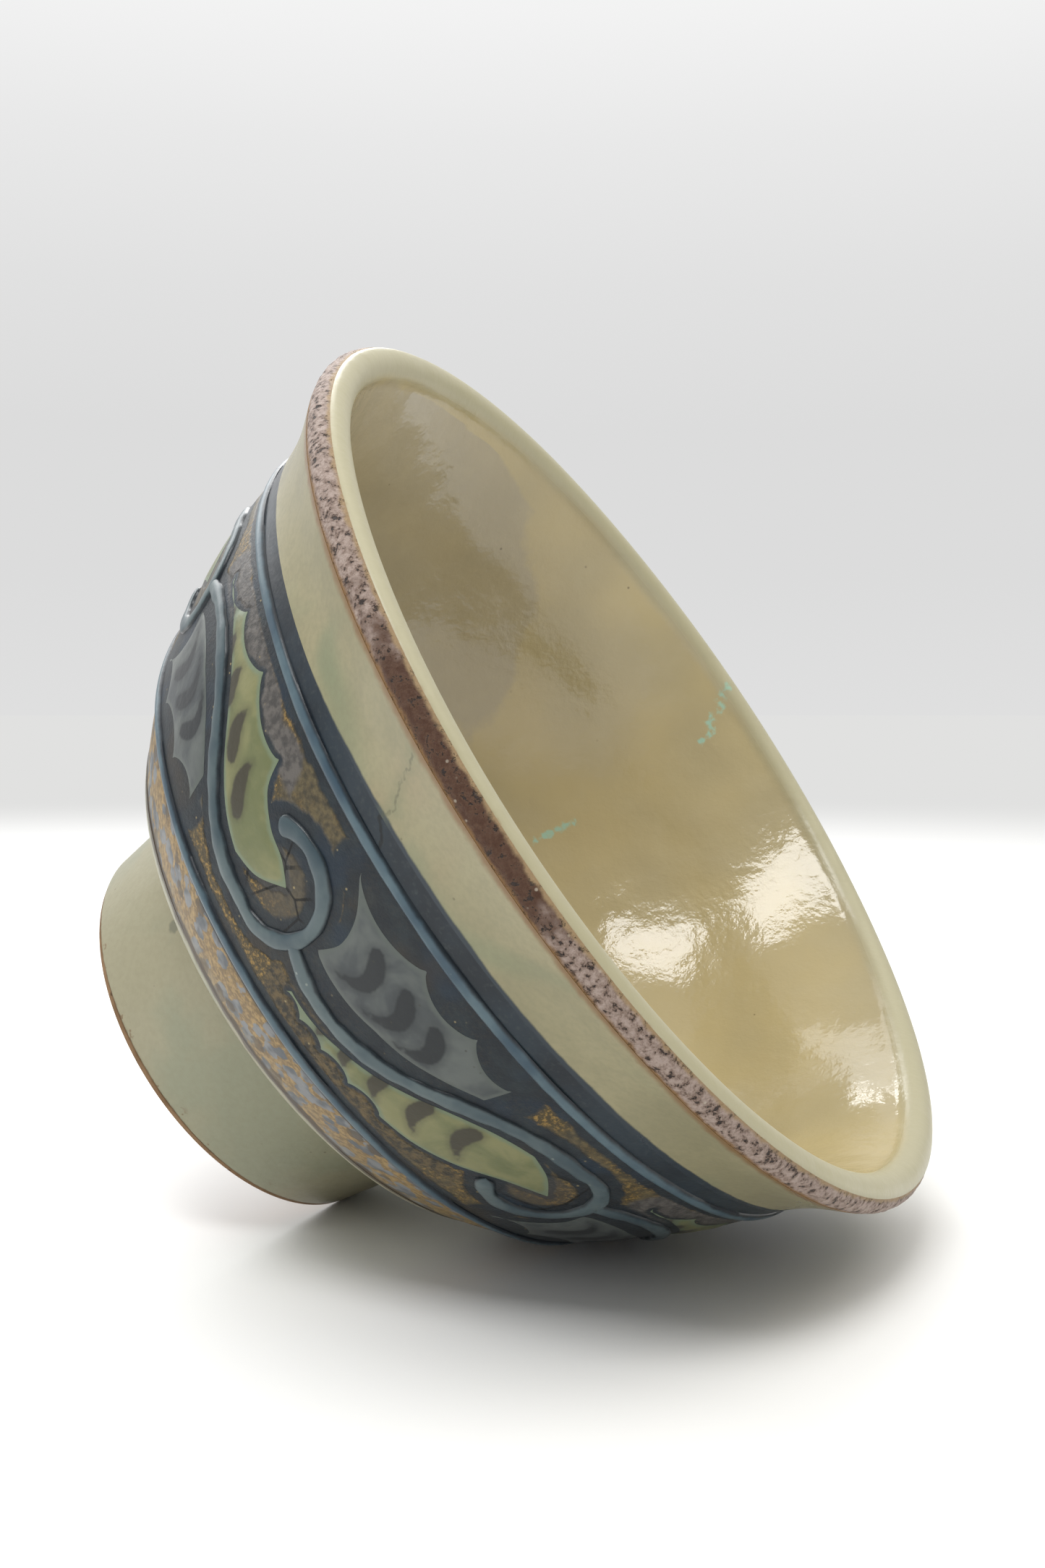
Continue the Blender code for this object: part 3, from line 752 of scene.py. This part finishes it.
def frieze_material():
    p = Paint("frieze_ground", 0.38, specular=0.2)
    stem, slate, green = (p.field(k) for k in ("stem", "slate", "green"))
    fall, reach, eye = p.field("fall"), p.field("reach"), p.field("eye")
    gold = p.mix(p.step(p.noise(0.5, 3.0, 0.7), 0.46, 0.66), rgb(72, 64, 46), rgb(146, 118, 66))
    brown = p.mix(p.blotch(0.8, 3.0, 0.3, 0.7), rgb(66, 61, 50), rgb(100, 90, 66))
    ochre = p.mix(p.blotch(8.0, 2.0, 0.42, 0.6), brown, gold)
    ragged = p.centred(1.8, 3.0, 1.3)
    line = STEM_WIDTH / 2 + DARK_LINE
    dark = p.step(p.plus(stem, ragged), line + 0.35, line - 0.25)
    dark = p.sum("MAXIMUM", dark, p.step(p.plus(slate, ragged), 2.2, 1.6))
    dark = p.sum("MAXIMUM", dark, p.step(p.plus(green, ragged), 1.1, 0.6))
    lobe = p.times(p.step(slate, 4.4, 3.6), p.step(reach, 6.6, 7.6))
    dark = p.sum("MAXIMUM", dark, lobe)
    border = p.sum("MINIMUM", p.sum("SUBTRACT", fall, TOP_CORD + HALF_CORD),
                   p.sum("SUBTRACT", LOW_CORD - HALF_CORD, fall))
    dark = p.sum("MAXIMUM", dark, p.step(p.plus(border, ragged), 1.6, 1.0))
    ink = p.mix(p.blotch(2.6, 3.0, 0.35, 0.7), INK, rgb(42, 50, 55))
    cobalt = p.mix(p.blotch(9.0, 2.0, 0.54, 0.68, 0.0, 0.5), ink, rgb(34, 50, 66))
    brownish = p.mix(p.blotch(12.0, 2.0, 0.56, 0.7, 0.0, 0.6), cobalt, rgb(58, 52, 44))
    colour = p.mix(p.times(dark, 0.96), ochre, brownish)
    green_edge = p.plus(green, ragged)
    bites = p.times(p.step(green_edge, 4.0, 3.2), p.step(reach, -6.2, -7.4))
    clear = p.times(bites, p.step(border, 0.9, 1.5))
    lilac = p.mix(p.blotch(1.0, 3.0, 0.35, 0.65), rgb(70, 68, 66), rgb(98, 94, 90))
    earth = p.mix(p.step(p.noise(1.0, 3.0, 0.7), 0.35, 0.65), rgb(50, 48, 42), rgb(98, 84, 58))
    bare = p.mix(p.field("kind"), earth, lilac)
    colour = p.mix(p.times(clear, p.step(green_edge, 0.3, 0.9)), colour, bare)
    smoky = p.mix(p.step(p.plus(eye, ragged), 4.6, 3.4, 0.0, 0.55), colour, rgb(74, 70, 64))
    pale = p.specks(rgb(164, 148, 108), smoky, 0.2, 1.5, 0.7)
    crackle = p.sum("SUBTRACT", p.cells(7.0, "DISTANCE_TO_EDGE"), p.times(p.noise(1.2, 3.0), 0.012))
    near = p.step(p.wander(eye, 5.0, 1.0, 9.0), 6.0, 4.0)
    lines = p.times(p.step(crackle, 0.022, 0.006), near)
    cracked = p.mix(p.times(lines, 0.85), pale, rgb(14, 14, 14))
    return p.finish(cracked, p.bump(p.noise(0.6, 3.0, 0.7), 0.08, below=p.bump(dark, -0.1)))


def leaf_material(name, light, dark, stroke_colour, rim):
    p = Paint(name, 0.3, specular=0.32)
    body = p.mix(p.step(p.noise(7.0, 3.0, distortion=0.5), 0.36, 0.66), dark, light)
    milky = p.mix(p.blotch(2.0, 3.0, 0.5, 0.8, 0.0, 0.35), body, light)
    depth = p.wander(p.field("depth"), 1.2, 3.0, 0.5)
    edged = p.mix(p.step(depth, 0.1, 0.8), rim, milky)
    stroke = p.wander(p.field("stroke"), 1.2, 3.0, 0.45)
    brushed = p.mix(p.step(stroke, 0.2, -0.25, 0.0, 0.94), edged, stroke_colour)
    halo = p.mix(p.step(stroke, 1.0, 0.1, 0.0, 0.25), brushed, stroke_colour)
    return p.finish(p.specks(rgb(56, 54, 44), halo, 0.2, 1.9, 0.6), glaze_bump(p, 0.03))


def collar_material():
    p = Paint("speckled_collar", 0.42, specular=0.22)
    fall = p.field("fall")
    ochre = p.mix(p.blotch(0.7, 3.0, 0.35, 0.7), rgb(112, 92, 60), rgb(158, 132, 86))
    blots = p.sum("ADD", p.cells(2.5), p.centred(1.0, 2.0, 0.55))
    lilac = p.mix(p.blotch(3.0, 2.0, 0.4, 0.6), rgb(86, 90, 94), rgb(122, 124, 125))
    spotted = p.mix(p.step(blots, 0.52, 0.44), ochre, lilac)
    brown = p.step(p.sum("ADD", p.cells(4.3), p.centred(1.2, 2.0, 0.4)), 0.30, 0.24)
    toasted = p.mix(p.times(brown, 0.8), spotted, rgb(78, 66, 50))
    low = p.step(p.wander(fall, 5.0, 2.0, 3.0), LOW_CORD + 5.5, COLLAR_EDGE)
    cloudy = p.times(low, p.blotch(1.8, 3.0, 0.4, 0.6, 0.0, 0.35))
    milky = p.mix(cloudy, toasted, rgb(140, 134, 116))
    ragged = p.wander(fall, 4.0, 2.0, 2.2)
    edge = p.mix(p.step(ragged, COLLAR_EDGE - 0.6, COLLAR_EDGE, 0.0, 0.9), milky, RUST)
    top = p.mix(p.step(fall, LOW_CORD + HALF_CORD + 0.3, LOW_CORD + HALF_CORD + 0.9), INK, edge)
    return p.finish(top, glaze_bump(p, 0.05))


def foot_colour(p):
    mottle = p.step(p.noise(16.0, 3.0, distortion=0.5), 0.38, 0.64)
    base = p.mix(mottle, rgb(153, 148, 123), rgb(142, 143, 120))
    fine = p.mix(p.blotch(0.8, 3.0, 0.3, 0.75, 0.0, 0.2), base, rgb(126, 122, 98))
    return p.specks(rgb(96, 86, 64), fine, 0.25, 3.5, 0.6)


def foot_material():
    p = Paint("foot_celadon", 0.34, specular=0.38)
    spot = p.mix(p.step(p.wander(p.field("spot"), 0.7, 2.0, 0.6), 1.1, 0.6, 0.0, 0.6),
                 foot_colour(p), rgb(96, 98, 86))
    ragged = p.wander(p.field("fall"), 1.6, 3.0, 0.4)
    meet = p.step(p.wander(p.field("fall"), 4.0, 2.0, 1.4), 0.9, 0.3, 0.0, 0.9)
    rimmed = p.mix(meet, spot, RUST)
    low = p.step(p.field("fall"), UNDER.length - 2.2, UNDER.length - 0.6)
    chips = p.times(p.blotch(1.7, 2.0, 0.64, 0.69), low)
    chipped = p.mix(p.times(chips, 0.7), rimmed, rgb(112, 84, 54))
    bare = p.mix(p.step(ragged, UNDER.length - 0.2, UNDER.length + 0.1), chipped, rgb(96, 74, 50))
    return p.finish(bare, glaze_bump(p, 0.03, 0.2))


def clay_material():
    p = Paint("bare_clay", 0.85, specular=0.3)
    body = p.mix(p.blotch(6.0, 3.0, 0.35, 0.65), rgb(118, 92, 66), rgb(142, 114, 86))
    grog = p.specks(rgb(84, 62, 44), body, 0.4, 1.6)
    turns = p.times(p.field("height"), 4.2)
    lines = p.sum("SINE", p.wander(turns, 4.0, 3.0, 6.0))
    return p.finish(grog, p.bump(p.noise(0.4, 4.0, 0.7), 0.1, below=p.bump(lines, 0.03)))


# --- the pieces ---

def frieze_fields():
    """Distances on the frieze ground to the stems and to both kinds of leaf, in millimetres."""
    targets = {"slate": [resampled(slate_outline(kind), 0.25) for kind in (0, 1)],
               "green": [resampled(green_outline(kind), 0.25) for kind in (0, 1)], "stem": [STEM, STEM]}

    def field(pair):
        def distance(angle, arc):
            wave, x, y = pattern_place(angle, arc)
            best = np.full(x.shape, FAR)
            for shift in (0, 1, -1):
                spot = np.stack([x + shift * WAVE_LENGTH, y * (1 if shift == 0 else -1)], -1)
                for kind in (0, 1):
                    near = nearest(spot, pair[kind])
                    best = np.where((wave - shift) % 2 == kind, np.minimum(best, near), best)
            return best
        return distance

    fields = {key: field(pair) for key, pair in targets.items()}
    fields["reach"] = lambda angle, arc: pattern_place(angle, arc)[2]
    fields["eye"] = eye_field
    fields["kind"] = lambda angle, arc: pattern_place(angle, arc)[0] % 2
    return fields


def eye_field(angle, arc):
    """Distance to the middle of the nearest volute, in millimetres."""
    _, x, y = pattern_place(angle, arc)
    here = np.hypot(x - VOLUTE[0], y - VOLUTE[1])
    before = np.hypot(x + WAVE_LENGTH - VOLUTE[0], -y - VOLUTE[1])
    return np.minimum(here, before)


def cord_relief(centre):
    """The round back of a trailed line of slip."""
    def relief(angle, arc):
        width = HALF_CORD * (1 + 0.08 * np.sin(9 * angle + centre) + 0.05 * np.sin(23 * angle))
        across = np.clip(np.abs(arc - centre) / width, 0, 1)
        return CORD_RISE * (1 + 0.12 * np.sin(13 * angle)) * np.sqrt(np.clip(1 - across ** 2, 0, 1))
    return relief


def iron_relief(angle, arc):
    """A dry, pitted wash, a little below the glazes on both of its sides."""
    points = SKIN.place(angle, arc)
    middle = np.clip(np.minimum(arc - 0.1, IRON_END - 0.1 - arc) / 0.6, 0, 1)
    return middle * (0.07 * lattice_noise(points, 0.9, 3) + 0.05 * lattice_noise(points, 0.45, 5)) - 0.05


def liner_relief(angle, arc):
    """A rounded edge on the lip, and the shallow dents of a hand-held rib inside."""
    edge = -0.25 * np.clip(1 - arc / 0.5, 0, 1) ** 2 + 0.03
    points = LINER.place(angle, arc)
    depth = np.clip((arc - 4.0) / 8.0, 0, 1)
    return edge + depth * (0.06 * lattice_noise(points, 11.0, 11) + 0.01 * lattice_noise(points, 5.0, 12))


# Radii at which turns round the bowl are counted as millimetres.
LINER_ROUND = 50.0
NECK_ROUND = 61.0
FOOT_ROUND = 31.0

# The painted grey reflection inside, a greyer sheen of the surroundings painted on the upper liner: its
# slanting start at some depths below the lip, and its other limits.
REFLECTION_DEPTHS = (6.5, 7.9, 10.8, 22.0, 32.3, 41.1)
REFLECTION_TURNS = (183.0, 155.3, 146.3, 131.3, 122.3, 119.7)
REFLECTION_END = 262.0
REFLECTION_TOP = 5.0
REFLECTION_BOTTOM = 46.0


def painted_reflection_field(angle, arc):
    """How far inside the painted grey reflection on the liner a place lies, in millimetres."""
    turn = np.degrees(angle) % 360
    ahead = np.radians(turn - np.interp(arc, REFLECTION_DEPTHS, REFLECTION_TURNS)) * LINER_ROUND
    behind = np.radians(REFLECTION_END - turn) * LINER_ROUND
    within = np.minimum(REFLECTION_BOTTOM - arc, arc - REFLECTION_TOP)
    return np.clip(np.minimum(np.minimum(ahead, behind), within), -FAR, FAR)


# Turn in degrees, depth below the lip and length in millimetres, and slant in radians.
FLECKS = ((98.0, 8.7, 9.0, 2.09), (96.1, 42.0, 6.0, 1.45), (-60.0, 34.0, 4.0, 0.4))


def fleck_field(angle, arc):
    """Distance to the short feathery flecks on the liner."""
    marks = []
    for turn, depth, length, slant in FLECKS:
        t = np.linspace(-0.5, 0.5, 12)
        marks.append(np.stack([math.radians(turn) * LINER_ROUND + length * t * math.cos(slant),
                               depth + length * t * math.sin(slant) + 0.8 * np.sin(t * 14)], 1))
    return np.minimum(nearest(np.stack([angle * LINER_ROUND, arc], -1), np.concatenate(marks)), FAR)


# The crack's way down the neck: turns in degrees at depths in millimetres.
CRACK_TURNS = (-93.6, -92.9, -92.7, -92.0, -90.9, -91.3, -91.4, -90.0, -88.8)
CRACK_FALLS = (5.0, 6.4, 8.5, 10.5, 12.3, 13.7, 14.6, 15.3, 16.6)
CRACK_MIDDLE = math.radians(-91.5)


def crack_field(angle, arc):
    """Distance to a hairline crack that runs down the neck and across the dark stripe."""
    stations = range(len(CRACK_FALLS))
    t = np.linspace(0, len(CRACK_FALLS) - 1, 200)
    jitter = 0.16 * np.sin(t * 7.0) + 0.1 * np.sin(t * 17.0)
    turns = np.radians(np.interp(t, stations, CRACK_TURNS))
    line = np.stack([turns * NECK_ROUND + jitter, np.interp(t, stations, CRACK_FALLS)], 1)
    near = np.abs(angle - CRACK_MIDDLE) < 0.25
    distance = np.full(angle.shape, FAR)
    distance[near] = nearest(np.stack([angle[near] * NECK_ROUND, arc[near]], -1), line)
    return distance


FOOT_SPOT = (-1.95, 19.0)


def spot_field(angle, arc):
    """Distance to one dark spot on the foot, in millimetres."""
    return np.hypot((angle - FOOT_SPOT[0]) * FOOT_ROUND, arc - FOOT_SPOT[1])


def build_clay():
    """The thrown wall with its spigot, and the hollow foot."""
    clay = clay_material()
    spigot_end = FOOT_HEIGHT - SPIGOT_DEPTH
    wall = [(0.0, spigot_end), (SPIGOT_RADIUS - 0.5, spigot_end), (SPIGOT_RADIUS, spigot_end + 0.4)]
    wall += [(SPIGOT_RADIUS, FOOT_HEIGHT), (30.5, FOOT_HEIGHT), (31.1, FOOT_HEIGHT + 1.0)]
    arcs = np.linspace(SKIN.length - 1.2, 2.0, 30)
    wall += list(zip(*SKIN.at(arcs, -CLAY_INSET)))
    wall += [tuple(p) for p in (lip_points(0.0, math.pi, 12) - LIP_CENTRE) * CLAY_LIP + LIP_CENTRE]
    arcs = np.linspace(9.0, LINER.length, 30)
    wall += list(zip(*LINER.at(arcs, -CLAY_INSET)))
    wall[-1] = (0.0, wall[-1][1])
    turned_solid("clay_bowl", wall, 180, clay, ["bowl_wall"])
    foot = [(FOOT_BORE, 19.7), (30.5, 19.7), (28.75, 0.95), (29.3, 0.85), (29.5, 0.7), (29.55, 0.45)]
    foot += [(29.5, 0.2), (29.25, 0.05), (29.0, 0.0), (26.8, 0.0), (24.6, 0.0), (24.3, 0.08), (24.1, 0.25)]
    foot += [(FOOT_BORE, 0.6)]
    foot += [(FOOT_BORE + 0.05 * math.sin(z * 2.4), z) for z in np.linspace(1.5, 18.5, 30)]
    turned_solid("clay_foot", foot, 240, clay, ["foot_ring"])


def cord_piece(name, slip, centre):
    turned_skin(name, SKIN, centre - HALF_CORD, centre + HALF_CORD, 13, 900, cord_material(slip, centre),
                [slip + "_cord"], relief=cord_relief(centre))


def build_skins():
    """The glazes, the iron wash and the two lines of slip."""
    turned_skin("liner_glaze", LINER, 0.0, LINER.length - 0.02, 190, 720, liner_material(),
                ["interior_glaze"], relief=liner_relief, fields={"fleck": fleck_field, "painted_reflection": painted_reflection_field},
                lead=LINER_LEAD)
    turned_skin("iron_band", SKIN, 0.0, IRON_END + 0.2, 13, 1400, iron_material(),
                ["lip_iron_band"], relief=iron_relief, fields={"toast": toast_field})
    turned_skin("neck_skin", SKIN, IRON_END + 0.2, STRIPE, 44, 1200, neck_material(),
                ["neck_glaze"], fields={"crack": crack_field})
    turned_skin("stripe_skin", SKIN, STRIPE, TOP_CORD - HALF_CORD, 12, 1200, navy_material(),
                ["navy_stripe"], fields={"crack": crack_field})
    cord_piece("upper_line", "upper_slip", TOP_CORD)
    turned_skin("frieze_skin", SKIN, TOP_CORD + HALF_CORD, LOW_CORD - HALF_CORD, 66, 900,
                frieze_material(), ["frieze_ground"], fields=frieze_fields())
    cord_piece("lower_line", "lower_slip", LOW_CORD)
    turned_skin("collar_skin", SKIN, LOW_CORD + HALF_CORD, SKIN.length, 24, 600, collar_material(),
                ["speckled_collar"])
    foot_mat = foot_material()
    seat_end = UNDER.arc_at_height(19.9)
    turned_skin("underside_skin", UNDER, 0.0, seat_end, 20, 360, foot_mat,
                ["underside_glaze"], fields={"spot": spot_field})
    turned_skin("foot_skin", UNDER, seat_end, UNDER.length, 40, 480, foot_mat,
                ["foot_glaze"], fields={"spot": spot_field})


def build_scroll():
    """The stems, each with a slate leaf and a green leaf."""
    slip = stem_material()
    slate = leaf_material("slate_leaf", rgb(92, 97, 94), rgb(62, 67, 69), rgb(30, 34, 37), rgb(84, 90, 86))
    green = leaf_material("green_leaf", rgb(127, 126, 88), rgb(101, 106, 71), rgb(58, 54, 43),
                          rgb(110, 122, 98))
    slate_plans = [leaf_plan(slate_outline(kind)) for kind in (0, 1)]
    green_plans = [leaf_plan(green_outline(kind)) for kind in (0, 1)]
    for wave in range(WAVES):
        kind = wave % 2
        stem_piece(wave, slip)
        leaf_piece(f"slate_leaf_pool_{wave + 1}", wave, slate_plans[kind], SLATE_STROKES, 0.14, slate,
                   [f"slate_leaf_{wave + 1}"])
        leaf_piece(f"green_leaf_pool_{wave + 1}", wave, green_plans[kind], green_strokes(kind), 0.12, green,
                   [f"green_leaf_{wave + 1}"])


# --- studio ---

def area_light(name, place, target, width, height, power, colour=(1.0, 1.0, 1.0)):
    lamp = bpy.data.lights.new(name, "AREA")
    lamp.shape = "RECTANGLE"
    lamp.size, lamp.size_y = width, height
    lamp.energy = power
    lamp.color = colour
    obj = bpy.data.objects.new(name, lamp)
    obj.location = place
    obj.rotation_euler = (Vector(target) - Vector(place)).to_track_quat("-Z", "Y").to_euler()
    bpy.context.scene.collection.objects.link(obj)


# The backdrop's grey at heights on a ball round the bowl, from -1 at its bottom to 1 at its top.
SKY_STOPS = ((-1.0, 226), (-0.05, 225), (0.08, 220), (0.165, 220), (0.245, 225), (0.32, 233), (0.385, 243),
             (0.6, 250))
SKY_BOTTOM = rgb(226, 226, 225)
SKY_TOP = rgb(250, 251, 251)
DIM_SIDE = Vector((0.75, -0.66, 0.0))
DIM = 0.42

# The floor near the bowl, and the grey it melts into between two distances in metres.
FLOOR_COLOUR = (0.86, 0.86, 0.852, 1.0)
FAR_GREY = rgb(225, 225, 224)
NEAR_FLOOR = 0.30
FAR_FLOOR = 1.15


def floor_material():
    """A pale floor that melts into the backdrop a good way behind the bowl."""
    p = Paint("studio_floor", 0.6, specular=0.2)
    far = p.tree.nodes.new("ShaderNodeVectorMath")
    far.operation = "LENGTH"
    p.put(far.inputs[0], p.coords)
    p.finish(FLOOR_COLOUR, p.bump(p.noise(1.2, 3.0), 0.02))
    glow = p.tree.nodes.new("ShaderNodeEmission")
    glow.inputs["Color"].default_value = FAR_GREY
    blend = p.tree.nodes.new("ShaderNodeMixShader")
    p.put(blend.inputs[0], p.step(far.outputs["Value"], NEAR_FLOOR, FAR_FLOOR))
    p.put(blend.inputs[1], p.shader.outputs[0])
    p.put(blend.inputs[2], glow.outputs[0])
    p.put(p.tree.nodes["Material Output"].inputs["Surface"], blend.outputs[0])
    return p.mat


def build_floor():
    bm = bmesh.new()
    bmesh.ops.create_circle(bm, cap_ends=True, radius=30.0, segments=96)
    mesh = bpy.data.meshes.new("studio_floor")
    bm.to_mesh(mesh)
    bm.free()
    mesh.materials.append(floor_material())
    floor = bpy.data.objects.new("studio_floor", mesh)
    bpy.context.scene.collection.objects.link(floor)


def range_node(tree, value, low, high, start, end):
    node = tree.nodes.new("ShaderNodeMapRange")
    for key, number in zip(("From Min", "From Max", "To Min", "To Max"), (low, high, start, end)):
        node.inputs[key].default_value = number
    tree.links.new(value, node.inputs["Value"])
    return node.outputs["Result"]


def build_world():
    """A plain backdrop all round, darkest just above the horizon and dimmer on the camera's side."""
    world = bpy.data.worlds.new("studio")
    world.use_nodes = True
    tree = world.node_tree
    link = tree.links.new
    coords = tree.nodes.new("ShaderNodeTexCoord")
    split = tree.nodes.new("ShaderNodeSeparateXYZ")
    ramp = tree.nodes.new("ShaderNodeValToRGB")
    link(coords.outputs["Generated"], split.inputs[0])
    height = tree.nodes.new("ShaderNodeMapRange")
    height.inputs["From Min"].default_value = -1.0
    link(split.outputs["Z"], height.inputs["Value"])
    link(height.outputs["Result"], ramp.inputs["Fac"])
    elements = ramp.color_ramp.elements
    for place, value in SKY_STOPS[1:-1]:
        elements.new((place + 1) / 2).color = rgb(value, value, value)
    elements[-1].position, elements[-1].color = (SKY_STOPS[-1][0] + 1) / 2, SKY_TOP
    elements[0].position, elements[0].color = 0.0, SKY_BOTTOM
    toward = tree.nodes.new("ShaderNodeVectorMath")
    toward.operation = "DOT_PRODUCT"
    toward.inputs[1].default_value = DIM_SIDE
    link(coords.outputs["Generated"], toward.inputs[0])
    turned = range_node(tree, toward.outputs["Value"], -0.3, 0.6, 0.0, 1.0)
    raised = range_node(tree, split.outputs["Z"], 0.0, 0.12, 0.0, 1.0)
    both = tree.nodes.new("ShaderNodeMath")
    both.operation = "MULTIPLY"
    link(turned, both.inputs[0])
    link(raised, both.inputs[1])
    strength = range_node(tree, both.outputs[0], 0.0, 1.0, 1.0, DIM)
    link(ramp.outputs["Color"], tree.nodes["Background"].inputs["Color"])
    link(strength, tree.nodes["Background"].inputs["Strength"])
    bpy.context.scene.world = world


def build_lights():
    """Two soft boxes above the bowl, and two windows that show in the glaze."""
    area_light("back_softbox", (-0.8, 0.45, 1.0), (0.0, 0.0, 0.05), 1.3, 1.1, 11.0)
    area_light("top_softbox", (0.45, 0.1, 1.0), (0.02, 0.0, 0.05), 0.9, 0.9, 4.5, (1.0, 0.96, 0.88))
    area_light("front_window", (0.03, -0.38, 0.68), (0.02, 0.0, 0.04), 0.34, 0.22, 2.6)
    area_light("side_window", (-0.33, 0.58, 0.62), (0.02, 0.0, 0.04), 0.24, 0.24, 1.1)


def build_camera():
    """Long side 2168 at a focal length of 2300 in the same units, close to the bowl and near the floor."""
    data = bpy.data.cameras.new("camera")
    data.sensor_width = 36.0
    data.lens = 36.0 * 2300 / 2168
    data.clip_start = 0.01
    camera = bpy.data.objects.new("camera", data)
    camera.location = (0.0870, -0.2118, 0.0701)
    camera.rotation_euler = (math.radians(90.0 - 2.5), 0.0, math.radians(21.76))
    bpy.context.scene.collection.objects.link(camera)
    bpy.context.scene.camera = camera


build_clay()
build_skins()
build_scroll()
build_floor()
build_world()
build_lights()
build_camera()
bpy.context.scene.view_settings.view_transform = "Standard"
bpy.context.view_layer.update()
